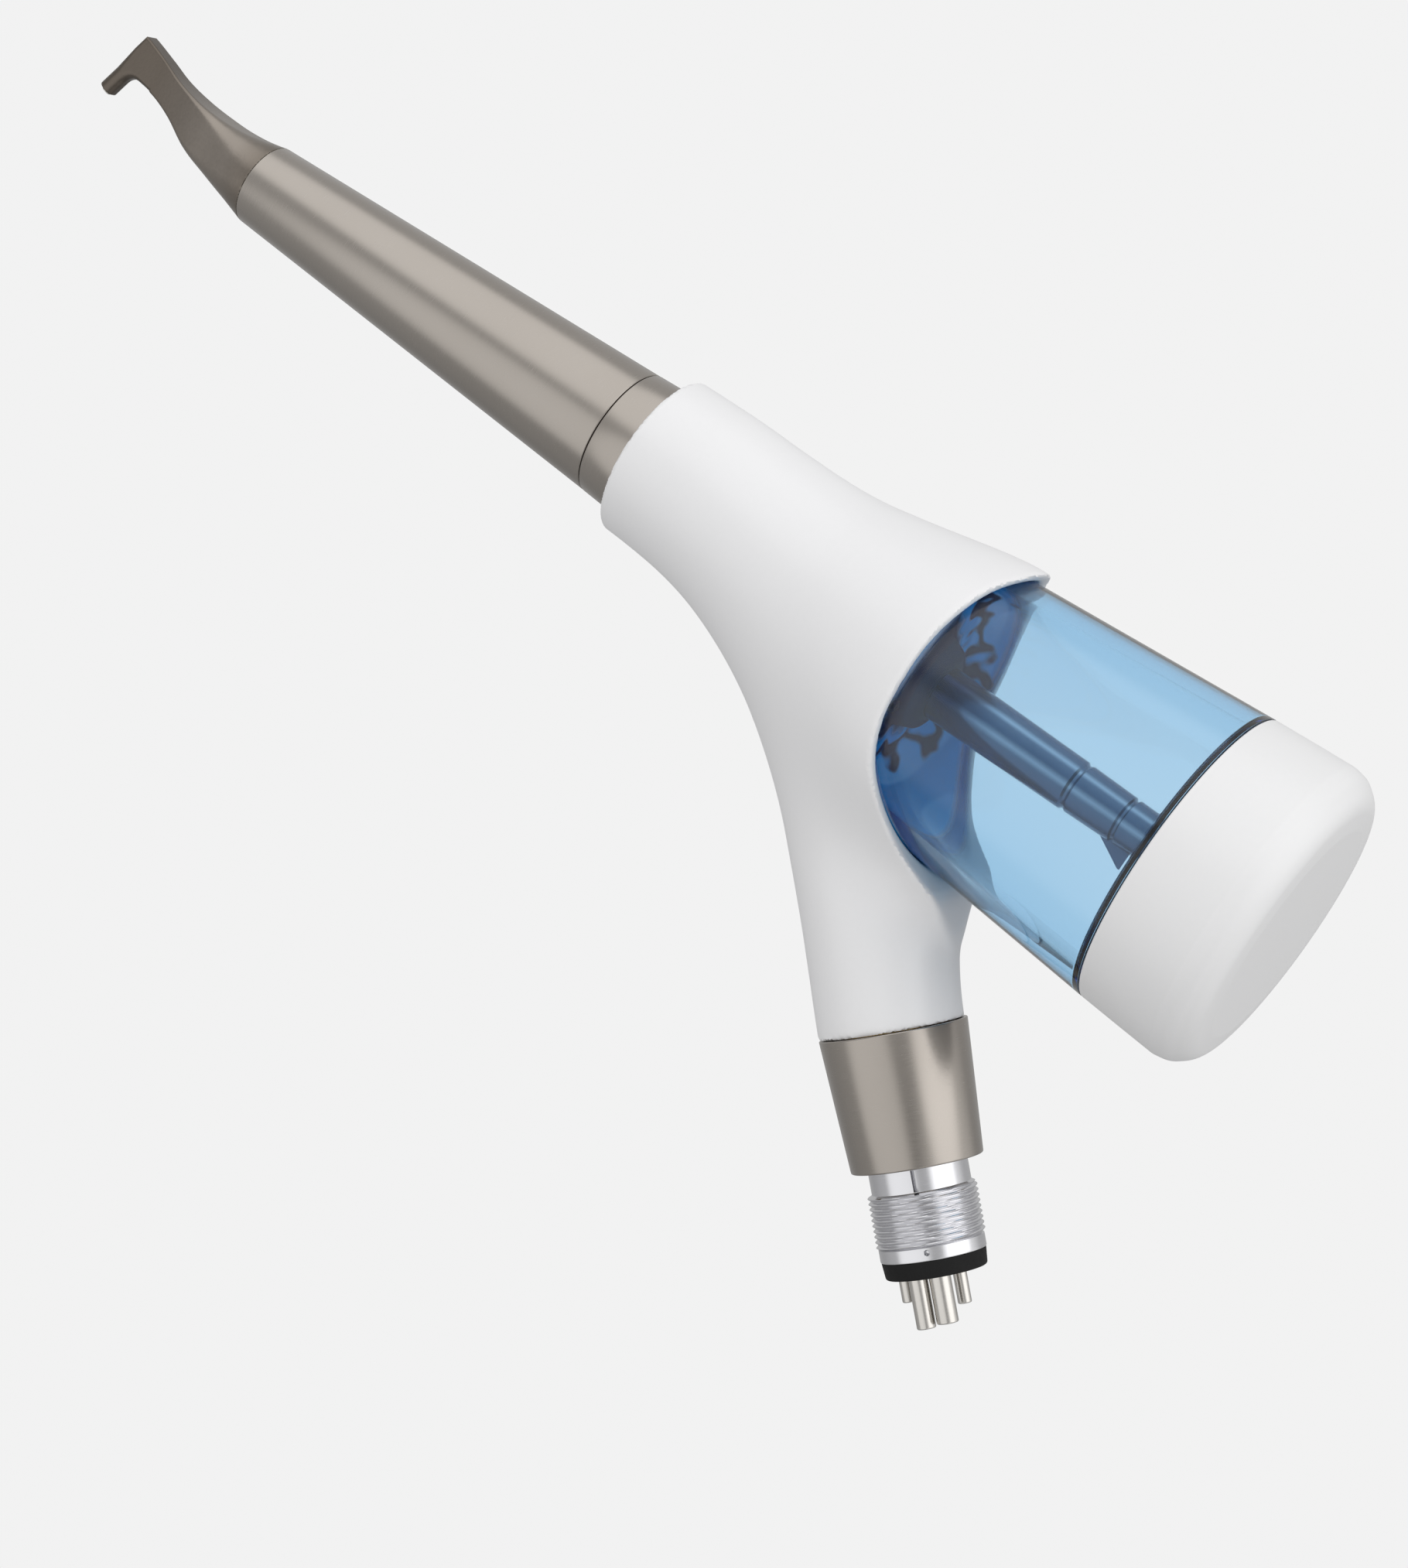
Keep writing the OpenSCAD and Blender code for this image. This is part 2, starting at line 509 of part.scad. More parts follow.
core_top_r = tail_r - wall - fit_gap;
module rear_core() color(brass) difference() {
    turned_tail([[0, ferrule_s + 0.8], [core_out_r, ferrule_s + 0.8], [core_out_r, housing_s + 0.1],
        [core_top_r, housing_s + 0.1], [core_top_r, core_top_s], [0, core_top_s]]);
    at_tail(ferrule_s) cylinder(h = core_socket_s - ferrule_s, r = neck_r_out);
    tube_holes(core_socket_s - 1, tube_top_s + 0.2);
    at_tail(tube_top_s - 1, drive_air[0], drive_air[1]) cylinder(h = 3.4, r = drive_air[3]);
    bar(tail_point(tube_top_s + 2, drive_air[0], drive_air[1]), tail_point(tube_top_s + 2, valve_n), 0.75);
    at_tail(tube_top_s + 1.6, valve_n) cylinder(h = 12, r = 0.9);
    at_tail(tube_top_s - 1, water[0], water[1]) cylinder(h = 5, r = water[3]);
    bar(tail_point(tube_top_s + 4, water[0], water[1]), tail_point(tube_top_s + 4, -2, 4.6), 0.45);
    at_tail(tube_top_s + 3.6, -2, 4.6) cylinder(h = core_top_s - tube_top_s - 5, r = 0.45);
    at_tail(core_top_s - 2.4, -2, 4.6) cylinder(h = 3, r = 1);
}

module hose_connector() color(chrome) difference() {
    turned_tail([[0, connector_s], [band_r, connector_s], [band_r, thread_s], [thread_r, thread_s],
        [thread_r, neck_s], [neck_r_out, neck_s], [neck_r_out, 14.2], [5, 14.2], [5, 15.6], [neck_r_out, 15.6],
        [neck_r_out, core_socket_s - 0.1], [0, core_socket_s - 0.1]]);
    tube_holes(connector_s - 1, core_socket_s + 1);
}

module connector_o_ring() color(black_rubber) at_tail(14.9) rotate_extrude($fn = 96)
    translate([5.33, 0]) circle(r = 0.33, $fn = 32);

module hose_gasket() color(black_rubber) difference() {
    turned_tail([[0, 0], [5.79, 0], [5.98, gasket_t], [0, gasket_t]]);
    tube_holes(-1, gasket_t + 1, 0.03);
}

nozzle_head();
powder_nozzle();
barrel();
front_bush();
powder_tube();
water_tube_front();
barrel_core();
swivel_bush();
front_collar();
spindle();
spindle_o_ring_1();
spindle_o_ring_2();
spindle_o_ring_3();
snap_ring();
housing();
manifold();
powder_line();
air_line();
water_line();
check_valve_body();
check_ball();
check_spring();
chamber();
chamber_seal();
stem_tube();
stem_jet();
cap();
cap_seal();
rear_ferrule();
rear_core();
hose_connector();
connector_o_ring();
hose_gasket();
exhaust_tube();
drive_air_tube();
water_tube();
chip_air_tube();
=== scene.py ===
"""Looks of the air-polishing handpiece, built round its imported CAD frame.

Lengths in the tables are in millimetres. X runs along the barrel towards the cap, Y across and Z up. In a
turned part's outline r is the radius and s the place along its axis, which on the tail rises from the
gasket's face.
"""

import json
import math

import bpy
import numpy as np
from mathutils import Matrix, Vector


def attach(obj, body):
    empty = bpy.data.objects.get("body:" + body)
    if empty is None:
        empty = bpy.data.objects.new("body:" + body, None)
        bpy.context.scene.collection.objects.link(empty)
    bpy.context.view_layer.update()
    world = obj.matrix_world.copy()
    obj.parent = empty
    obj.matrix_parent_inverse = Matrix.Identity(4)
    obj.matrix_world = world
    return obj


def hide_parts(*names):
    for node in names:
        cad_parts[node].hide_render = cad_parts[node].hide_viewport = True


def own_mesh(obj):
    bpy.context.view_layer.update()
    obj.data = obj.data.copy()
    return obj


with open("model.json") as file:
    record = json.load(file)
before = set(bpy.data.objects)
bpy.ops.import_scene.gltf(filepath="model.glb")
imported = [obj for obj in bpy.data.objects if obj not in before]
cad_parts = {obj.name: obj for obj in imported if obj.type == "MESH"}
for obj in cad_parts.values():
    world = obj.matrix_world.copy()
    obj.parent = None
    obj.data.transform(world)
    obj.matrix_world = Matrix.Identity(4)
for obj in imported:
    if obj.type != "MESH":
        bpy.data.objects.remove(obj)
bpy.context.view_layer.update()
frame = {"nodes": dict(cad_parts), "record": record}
nodes = frame["nodes"]
MM = 0.001

# ---- places, as in the CAD model ----

TAIL_ANGLE = math.radians(46.5)  # between the tail's axis and the barrel's
BARREL_Z = 58.7  # height of the barrel's axis
CHAMBER_Z = 55.2  # height of the chamber's axis
SEAM_X = -1.8  # where the cap closes on the chamber
COLLAR_FRONT_X = -83.1
COLLAR_REAR_X = -78.2
BARREL_REAR_X = -83.2
BARREL_FRONT_X = -138.8
CHAMBER_FLOOR_X = -38.0
FERRULE_S = 12.4
HOUSING_S = 27.75  # where the ferrule meets the housing
TAIL = Matrix.Rotation(TAIL_ANGLE - math.pi / 2, 4, "Y")
TAIL_UP = np.array((-math.cos(TAIL_ANGLE), 0, math.sin(TAIL_ANGLE)))
TAIL_REAR = np.array((math.sin(TAIL_ANGLE), 0, math.cos(TAIL_ANGLE)))


def on_x(z):
    """The frame of a part turned about the X axis at height z: its own Z runs along +X."""
    return Matrix.Translation((0, 0, z * MM)) @ Matrix.Rotation(math.pi / 2, 4, "Y")


# ---- mesh helpers ----


def make_piece(name, points, faces, place=None, sharp_deg=35):
    """A smooth-shaded mesh object from points in millimetres, in the frame place."""
    mesh = bpy.data.meshes.new(name)
    mesh.from_pydata([tuple(p) for p in np.asarray(points) * MM], [], faces)
    mesh.validate()
    mesh.shade_smooth()
    mesh.set_sharp_from_angle(angle=math.radians(sharp_deg))
    piece = bpy.data.objects.new(name, mesh)
    bpy.context.scene.collection.objects.link(piece)
    if place is not None:
        piece.matrix_world = place
    return piece


def rounded(outline, steps=4):
    """The closed outline with its corners filleted: points are (r, s) or (r, s, fillet)."""
    made = []
    for i, (r, s, *fillet) in enumerate(outline):
        p = np.array((r, s), float)
        if not fillet:
            made.append(p)
            continue
        a = np.array(outline[i - 1][:2]) - p
        b = np.array(outline[(i + 1) % len(outline)][:2]) - p
        la, lb = np.hypot(*a), np.hypot(*b)
        a, b = a / la, b / lb
        half = math.acos(float(np.clip(a @ b, -1, 1))) / 2
        reach = min(fillet[0] / math.tan(half), 0.49 * la, 0.49 * lb)
        centre = p + (a + b) / np.hypot(*(a + b)) * reach / math.cos(half)
        start, end = p + a * reach - centre, p + b * reach - centre
        turn = math.atan2(start[0] * end[1] - start[1] * end[0], start @ end)
        for k in range(steps + 1):
            c, n = math.cos(turn * k / steps), math.sin(turn * k / steps)
            made.append(centre + np.array((c * start[0] - n * start[1], n * start[0] + c * start[1])))
    return made


def turned(name, outline, place, segments=144, relief=None, steps=4):
    """A closed outline of (r, s) turned about the local Z axis. relief(angle, s, r) moves the skin."""
    outline = rounded(outline, steps)
    angles = np.linspace(0, 2 * math.pi, segments, endpoint=False)
    points, rings = [], []
    for r, s in outline:
        if r < 1e-6:
            rings.append([len(points)] * segments)
            points.append((0, 0, s))
            continue
        radius = r + (relief(angles, s, r) if relief else 0) * np.ones(segments)
        rings.append(list(range(len(points), len(points) + segments)))
        points += list(zip(radius * np.cos(angles), radius * np.sin(angles), np.full(segments, s)))
    faces = []
    for i, ring in enumerate(rings):
        after = rings[(i + 1) % len(rings)]
        if ring[0] == ring[1] and after[0] == after[1]:
            continue
        for k in range(segments):
            n = (k + 1) % segments
            quad = [ring[k], after[k], after[n], ring[n]]
            faces.append([q for j, q in enumerate(quad) if q != quad[j - 1]])
    area = sum(a[0] * b[1] - b[0] * a[1] for a, b in zip(outline, outline[1:] + outline[:1]))
    if area > 0:
        faces = [f[::-1] for f in faces]
    return make_piece(name, points, faces, place)


CUBE = [(i, j, k) for i in (0, 1) for j in (0, 1) for k in (0, 1)]
CUBE_EDGES = [(a, b) for a in range(8) for b in range(a + 1, 8)
              if sum(abs(CUBE[a][n] - CUBE[b][n]) for n in range(3)) == 1]


def skin(name, field, low, high, step, sharp_deg=40):
    """A closed mesh of the surface where field(x, y, z) is zero, by surface nets. The field is even in y."""
    axes = [np.arange(a, b + step, step) for a, b in zip(low, high)]
    half = np.arange(0, high[1] + step, step)
    values = field(*np.meshgrid(axes[0], half, axes[2], indexing="ij"))
    values = np.concatenate([values[:, :0:-1], values], axis=1)
    axes[1] = np.concatenate([-half[:0:-1], half])
    size = np.array(values.shape) - 1
    corners = [values[i:i + size[0], j:j + size[1], k:k + size[2]] for i, j, k in CUBE]
    count = sum((c < 0).astype(np.int8) for c in corners)
    cells = np.argwhere((count > 0) & (count < 8))
    index = np.full(size, -1)
    index[tuple(cells.T)] = np.arange(len(cells))
    at = [c[tuple(cells.T)] for c in corners]
    total, hits = np.zeros((len(cells), 3)), np.zeros((len(cells), 1))
    for a, b in CUBE_EDGES:
        crosses = (at[a] < 0) != (at[b] < 0)
        t = np.where(crosses, at[a] / np.where(crosses, at[a] - at[b], 1), 0)[:, None]
        total += crosses[:, None] * (np.array(CUBE[a]) + t * (np.array(CUBE[b]) - np.array(CUBE[a])))
        hits += crosses[:, None]
    points = np.array([a[0] for a in axes]) + step * (cells + total / hits)
    e = 0.05
    for _ in range(3):
        x, y, z = points.T
        slope = np.stack([field(x + e, y, z) - field(x - e, y, z), field(x, y + e, z) - field(x, y - e, z),
                          field(x, y, z + e) - field(x, y, z - e)], 1) / (2 * e)
        move = -field(x, y, z)[:, None] * slope / np.maximum((slope ** 2).sum(1, keepdims=True), 0.2)
        points = points + np.clip(move, -0.4 * step, 0.4 * step)
    faces = []
    for n in range(3):
        p, q = (n + 1) % 3, (n + 2) % 3
        lower = np.take(values, range(values.shape[n] - 1), axis=n)
        upper = np.take(values, range(1, values.shape[n]), axis=n)
        edges = np.argwhere((lower < 0) != (upper < 0))
        inner = (edges[:, p] > 0) & (edges[:, q] > 0) & (edges[:, p] < size[p]) & (edges[:, q] < size[q])
        edges = edges[inner]
        ring = []
        for dp, dq in ((1, 1), (0, 1), (0, 0), (1, 0)):
            cell = edges.copy()
            cell[:, p] -= dp
            cell[:, q] -= dq
            ring.append(index[tuple(cell.T)])
        quads = np.stack(ring, 1)
        flip = lower[tuple(edges.T)] >= 0
        quads[flip] = quads[flip][:, ::-1]
        faces.append(quads)
    return make_piece(name, points, np.concatenate(faces).tolist(), sharp_deg=sharp_deg)


def soft_min(a, b, k):
    """The union of two fields with a fillet about k wide."""
    h = np.maximum(k - np.abs(a - b), 0) / k
    return np.minimum(a, b) - h * h * k / 4


def round_max(a, b, r):
    """The common part of two fields with a rounded edge of radius r."""
    return np.minimum(-r, np.maximum(a, b)) + np.hypot(np.maximum(a + r, 0), np.maximum(b + r, 0))


def smooth_curve(table):
    """A smooth function through the (x, y) rows of a table, with x rising."""
    xs, ys = np.array(table, float).T
    slopes = np.gradient(ys, xs)

    def at(x):
        x = np.clip(x, xs[0], xs[-1])
        i = np.clip(np.searchsorted(xs, x) - 1, 0, len(xs) - 2)
        h = xs[i + 1] - xs[i]
        t = (x - xs[i]) / h
        return ((2 * t ** 3 - 3 * t ** 2 + 1) * ys[i] + (t ** 3 - 2 * t ** 2 + t) * h * slopes[i]
                + (3 * t ** 2 - 2 * t ** 3) * ys[i + 1] + (t ** 3 - t ** 2) * h * slopes[i + 1])

    return at


# ---- materials ----


def link(tree, source, target):
    tree.links.new(source, target)
    return target


def node(tree, kind, **values):
    """A new node, with its settings and its sockets' values set by name."""
    made = tree.nodes.new(kind)
    for key, value in values.items():
        if hasattr(made, key):
            setattr(made, key, value)
        else:
            made.inputs[key.replace("_", " ")].default_value = value
    return made


def finish(name, dark, light, rough, stretch=(1, 1, 1), grain=900, bump=0.03, metal=0.0, blotch=60,
           **sockets):
    """A material whose colour drifts between two tones, with a fine grain in its roughness and surface."""
    made = bpy.data.materials.new(name)
    made.use_nodes = True
    tree = made.node_tree
    shader = tree.nodes["Principled BSDF"]
    shader.inputs["Metallic"].default_value = metal
    for key, value in sockets.items():
        shader.inputs[key.replace("_", " ")].default_value = value
    place = node(tree, "ShaderNodeTexCoord")
    scaled = node(tree, "ShaderNodeMapping", Scale=stretch)
    link(tree, place.outputs["Object"], scaled.inputs["Vector"])
    wide = node(tree, "ShaderNodeTexNoise", Scale=blotch, Detail=3.0)
    fine = node(tree, "ShaderNodeTexNoise", Scale=grain, Detail=4.0)
    link(tree, place.outputs["Object"], wide.inputs["Vector"])
    link(tree, scaled.outputs["Vector"], fine.inputs["Vector"])
    tone = node(tree, "ShaderNodeMix", data_type="RGBA")
    tone.inputs["A"].default_value = (*dark, 1)
    tone.inputs["B"].default_value = (*light, 1)
    both = node(tree, "ShaderNodeMath", operation="ADD")
    half = node(tree, "ShaderNodeMath", operation="MULTIPLY")
    half.inputs[1].default_value = 0.5
    link(tree, wide.outputs["Fac"], both.inputs[0])
    link(tree, fine.outputs["Fac"], both.inputs[1])
    link(tree, both.outputs[0], half.inputs[0])
    link(tree, half.outputs[0], tone.inputs["Factor"])
    link(tree, tone.outputs["Result"], shader.inputs["Base Color"])
    spread = node(tree, "ShaderNodeMapRange", From_Min=0.25, From_Max=0.75, To_Min=rough[0], To_Max=rough[1])
    link(tree, fine.outputs["Fac"], spread.inputs["Value"])
    link(tree, spread.outputs["Result"], shader.inputs["Roughness"])
    if bump:
        relief = node(tree, "ShaderNodeBump", Strength=bump, Distance=0.0001)
        link(tree, fine.outputs["Fac"], relief.inputs["Height"])
        link(tree, relief.outputs["Normal"], shader.inputs["Normal"])
    return made


def clear(name, tint, absorb, density, rough, grain=500, **sockets):
    """A clear plastic that takes its colour from its thickness."""
    made = finish(name, tint, tint, rough, grain=grain, bump=0.004, Transmission_Weight=1.0, IOR=1.5,
                  **sockets)
    tree = made.node_tree
    depth = node(tree, "ShaderNodeVolumeAbsorption", Density=density)
    depth.inputs["Color"].default_value = (*absorb, 1)
    link(tree, depth.outputs["Volume"], tree.nodes["Material Output"].inputs["Volume"])
    return made


TURNED = (1, 1, 14)  # grain drawn out by the lathe, across the local Z axis
EVEN = (1, 1, 1)
titanium = finish("titanium", (0.32, 0.292, 0.262), (0.38, 0.351, 0.321), (0.2, 0.28), TURNED,
                  grain=900, bump=0.05, metal=1.0)
head_metal = finish("head_metal", (0.24, 0.213, 0.186), (0.3, 0.268, 0.237), (0.28, 0.38), EVEN,
                    grain=2600, bump=0.16, metal=1.0)
steel = finish("steel", (0.5, 0.48, 0.45), (0.62, 0.6, 0.57), (0.16, 0.26), TURNED,
               grain=1200, bump=0.05, metal=1.0)
chrome = finish("chrome", (0.6, 0.6, 0.62), (0.7, 0.7, 0.72), (0.14, 0.24), TURNED,
                grain=1100, bump=0.04, metal=1.0)
brass = finish("brass", (0.6, 0.42, 0.16), (0.7, 0.51, 0.22), (0.2, 0.3), TURNED,
               grain=900, bump=0.04, metal=1.0)
white_plastic = finish("white_plastic", (0.725, 0.724, 0.732), (0.76, 0.759, 0.767), (0.3, 0.37),
                       grain=1500, bump=0.02, blotch=25)
cap_plastic = finish("cap_plastic", (0.715, 0.715, 0.719), (0.75, 0.75, 0.755), (0.3, 0.38),
                     grain=1500, bump=0.025, blotch=25)
black_rubber = finish("black_rubber", (0.006, 0.006, 0.006), (0.014, 0.014, 0.014), (0.6, 0.8),
                      grain=1800, bump=0.1, Specular_IOR_Level=0.15)
hose_plastic = finish("hose_plastic", (0.68, 0.72, 0.75), (0.76, 0.79, 0.81), (0.4, 0.5),
                      grain=700, bump=0.03)
blue_clear = clear("blue_clear", (0.97, 0.985, 1.0), (0.02, 0.57, 0.87), 212.0, (0.015, 0.03))


def calc(tree, operation, *values):
    """A math node on numbers or sockets."""
    made = node(tree, "ShaderNodeMath", operation=operation)
    for i, value in enumerate(values):
        if isinstance(value, (int, float)):
            made.inputs[i].default_value = value
        else:
            link(tree, value, made.inputs[i])
    return made.outputs[0]


def ease(tree, value, low, high):
    """Rises smoothly from 0 to 1 between low and high."""
    made = node(tree, "ShaderNodeMapRange", interpolation_type="SMOOTHSTEP", From_Min=low, From_Max=high)
    link(tree, value, made.inputs["Value"])
    return made.outputs["Result"]


def paint_jar_light_and_shade():
    """Paints light and shade on the jar: behind the housing's rim its blue is made deep and opaque, painted
    light for what the white housing sends back through the wall, and painted shade darkens its floor round the
    hub.

    In the jar's own space X points down, Y across and Z along its axis, towards the cap.
    """
    tree = blue_clear.node_tree
    shader = tree.nodes["Principled BSDF"]
    place = node(tree, "ShaderNodeTexCoord")
    wave = node(tree, "ShaderNodeTexNoise", Scale=260.0, Detail=1.0)
    link(tree, place.outputs["Object"], wave.inputs["Vector"])
    split = node(tree, "ShaderNodeSeparateXYZ")
    link(tree, place.outputs["Object"], split.inputs[0])
    drop, side, along = split.outputs
    # behind: the zone past the housing's rim where painted light is laid on, a deep opaque blue for light that
    # the white housing sends back through the wall.
    low = calc(tree, "MAXIMUM", calc(tree, "ADD", calc(tree, "MULTIPLY", drop, 1000), -3.2), 0)
    rim = calc(tree, "ADD", calc(tree, "MULTIPLY", calc(tree, "POWER", low, 1.54), 0.19), -34.4)
    behind = ease(tree, calc(tree, "SUBTRACT", rim, calc(tree, "MULTIPLY", along, 1000)), -0.5, 0.7)
    # dark: the mask of the painted shade in the jar's floor, round the hub and in a ring about it.
    squares = calc(tree, "ADD", calc(tree, "MULTIPLY", drop, drop), calc(tree, "MULTIPLY", side, side))
    out = calc(tree, "MULTIPLY", calc(tree, "SQRT", squares), 1000)
    sway = calc(tree, "MULTIPLY", calc(tree, "SUBTRACT", wave.outputs["Fac"], 0.5), 9.0)
    wavy = calc(tree, "ADD", out, sway)
    floor_only = ease(tree, calc(tree, "MULTIPLY", along, -1000), 33.0, 34.0)
    hub = calc(tree, "SUBTRACT", 1, ease(tree, wavy, 7.5, 10.0))
    ring_end = calc(tree, "SUBTRACT", 1, ease(tree, wavy, 12.0, 12.9))
    ring = calc(tree, "MULTIPLY", ease(tree, wavy, 10.6, 11.3), ring_end)
    dark = calc(tree, "MULTIPLY", floor_only, calc(tree, "MAXIMUM", hub, ring))
    tone = shader.inputs["Base Color"].links[0].from_socket
    # First the painted light behind the rim (deep blue), then the painted shade in the floor round the hub
    # (near black).
    for share, colour in ((behind, (0.005, 0.5, 1.0)), (dark, (0.0, 0.012, 0.07))):
        mix = node(tree, "ShaderNodeMix", data_type="RGBA")
        link(tree, share, mix.inputs["Factor"])
        link(tree, tone, mix.inputs["A"])
        mix.inputs["B"].default_value = (*colour, 1)
        tone = mix.outputs["Result"]
    link(tree, tone, shader.inputs["Base Color"])
    # Behind the rim the wall is made nearly opaque, so that the painted light shows.
    clearness = calc(tree, "SUBTRACT", 1, calc(tree, "MULTIPLY", behind, 0.94))
    link(tree, clearness, shader.inputs["Transmission Weight"])
    # In the painted shade the reflections are dimmed as well, by more roughness and a lower specular level.
    smooth = shader.inputs["Roughness"].links[0].from_socket
    rougher = calc(tree, "ADD", smooth, calc(tree, "MULTIPLY", dark, 0.55))
    link(tree, rougher, shader.inputs["Roughness"])
    sheen = calc(tree, "SUBTRACT", 0.5, calc(tree, "MULTIPLY", dark, 0.5))
    link(tree, sheen, shader.inputs["Specular IOR Level"])


paint_jar_light_and_shade()


def paint_light_ramp(material, value, stops):
    """Paints light and shade: multiplies the material's colour by a ramp that value(tree, x, y, z) reads in
    object space.
    """
    tree = material.node_tree
    shader = tree.nodes["Principled BSDF"]
    place = node(tree, "ShaderNodeTexCoord")
    split = node(tree, "ShaderNodeSeparateXYZ")
    link(tree, place.outputs["Object"], split.inputs[0])
    ramp = node(tree, "ShaderNodeValToRGB")
    link(tree, value(tree, *split.outputs), ramp.inputs["Fac"])
    for i, (at, *colour) in enumerate(stops):
        stop = ramp.color_ramp.elements[i] if i < 2 else ramp.color_ramp.elements.new(at)
        stop.position = at
        stop.color = (*colour, 1)
    mix = node(tree, "ShaderNodeMix", data_type="RGBA", blend_type="MULTIPLY")
    mix.inputs["Factor"].default_value = 1.0
    link(tree, shader.inputs["Base Color"].links[0].from_socket, mix.inputs["A"])
    link(tree, ramp.outputs["Color"], mix.inputs["B"])
    link(tree, mix.outputs["Result"], shader.inputs["Base Color"])


def along_head(tree, x, y, z):
    """From 0 at the head's tip to 1 at the barrel."""
    return calc(tree, "MULTIPLY", calc(tree, "ADD", x, 0.166), 36.0)


def round_stem(tree, x, y, z):
    """From 0 to 1 once round the stem's axis."""
    return calc(tree, "FRACT", calc(tree, "DIVIDE", calc(tree, "ARCTAN2", y, x), 2 * math.pi))


def up_stem(tree, x, y, z):
    """From 0 at the chamber's floor to 1 where the stem is clear of the hub."""
    return calc(tree, "MULTIPLY", calc(tree, "ADD", z, 0.036), 100.0)


# The first two stops of each ramp are its ends.
# Painted light and shade on the head: a painted highlight about two thirds of the way from the tip to the
# barrel, painted shade towards the tip.
paint_light_ramp(head_metal, along_head, [
    (0.0, 0.44, 0.42, 0.4), (1.0, 0.66, 0.64, 0.61), (0.3, 0.5, 0.48, 0.46), (0.48, 0.7, 0.69, 0.68),
    (0.66, 1.0, 1.0, 1.0), (0.84, 0.92, 0.92, 0.92)])
stem_clear = finish("stem_clear", (0.32, 0.39, 0.46), (0.41, 0.48, 0.55), (0.1, 0.17), EVEN,
                    grain=600, bump=0.01, metal=0.6)
# Painted reflections on the stem: bright streaks and dark bands round its axis.
paint_light_ramp(stem_clear, round_stem, [
    (0.0, 0.2, 0.27, 0.4), (1.0, 0.2, 0.27, 0.4), (0.12, 0.5, 0.56, 0.65), (0.3, 0.85, 0.92, 1.0),
    (0.45, 0.4, 0.48, 0.6), (0.52, 0.12, 0.2, 0.36), (0.59, 0.3, 0.42, 0.58), (0.62, 1.6, 1.6, 1.6),
    (0.645, 0.4, 0.5, 0.66), (0.70, 0.2, 0.3, 0.46), (0.735, 1.1, 1.15, 1.2), (0.765, 0.26, 0.37, 0.52),
    (0.86, 0.1, 0.18, 0.34)])
# Painted shade at the stem's foot, darker towards the chamber's floor.
paint_light_ramp(stem_clear, up_stem, [
    (0.0, 0.02, 0.05, 0.2), (1.0, 1.0, 1.0, 1.0), (0.35, 0.1, 0.16, 0.34), (0.8, 0.75, 0.8, 0.85)])
SLOTS = {"titanium": titanium, "head_metal": head_metal, "steel": steel, "chrome": chrome, "brass": brass,
         "white_plastic": white_plastic, "black_rubber": black_rubber, "hose_plastic": hose_plastic,
         "blue_clear": blue_clear, "grey_clear": stem_clear}

for part in frame["record"]["subparts"]:
    for slot in nodes[part["node"]].material_slots:
        slot.material = SLOTS[part["material_slot"]]


def fit(piece, body, slot, *stands_for, look=None):
    """Gives a piece its material, and makes it ride and stand for its CAD nodes."""
    piece.data.materials.append(look or SLOTS[slot])
    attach(piece, body)
    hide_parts(*stands_for)
    return piece


# ---- camera ----

EYE = Vector((84.83, -409.19, 157.06)) * MM
AIM = Vector((-53.18, 0, 30.38)) * MM
forward = (AIM - EYE).normalized()
right = forward.cross(Vector((-0.534, 0, 0.845))).normalized()
over = right.cross(forward)
turn = Matrix((right, over, -forward)).transposed().to_4x4()
camera = bpy.data.objects.new("camera", bpy.data.cameras.new("camera"))
bpy.context.scene.collection.objects.link(camera)
camera.matrix_world = Matrix.Translation(EYE) @ turn
camera.data.lens = 90.3
camera.data.clip_start = 0.01
bpy.context.scene.camera = camera

# ---- turned parts ----

BARREL_BORE = 6.3
COLLAR_BORE = 6.6
JOINT_LINE = 0.04  # gap between the collar and the housing
barrel = turned("barrel_shell", [
    (4.1, BARREL_FRONT_X), (5.1, BARREL_FRONT_X, 0.08), (7.85, BARREL_REAR_X, 0.14),
    (BARREL_BORE, BARREL_REAR_X, 0.2), (BARREL_BORE, -99.2), (4.1, -99.2)], on_x(BARREL_Z))
fit(barrel, "handpiece", "titanium", "barrel")

collar = turned("collar_ring", [
    (COLLAR_BORE, COLLAR_FRONT_X, 0.1), (7.87, COLLAR_FRONT_X, 0.14), (8.17, COLLAR_REAR_X - JOINT_LINE, 0.1),
    (6.87, COLLAR_REAR_X - JOINT_LINE), (6.87, -72.0), (COLLAR_BORE, -72.0)], on_x(BARREL_Z))
fit(collar, "body", "titanium", "front_collar")

ferrule = turned("ferrule_sleeve", [
    (6.6, FERRULE_S), (7.55, FERRULE_S, 0.22), (8.5, HOUSING_S, 0.12), (6.6, HOUSING_S)], TAIL)
fit(ferrule, "body", "titanium", "rear_ferrule")

THREAD_LOW, THREAD_HIGH = 3.75, 9.5
THREAD_R, THREAD_DEPTH, PITCH = 6.25, 0.3, 0.62
BAND_R, NECK_R = 6.05, 5.68
SLOT_TURN = math.radians(-74.6)  # the bearing of the neck's slot and of the band's mark hole
SLOT_HALF, SLOT_DEPTH = 0.23, 1.6
MARK_S, MARK_R2, MARK_DEPTH = 2.95, 0.07, 0.9  # R2 is its radius squared
band_rows = [(BAND_R, s) for s in np.arange(2.4, 3.45, 0.1)]
thread_rows = [(THREAD_R, s) for s in np.arange(THREAD_LOW, THREAD_HIGH, 0.055)]
neck_rows = [(NECK_R, s) for s in (9.74, 9.78, 10.4, 11.2, 12.0, 12.17, 12.22, 13.0, 14.2)]


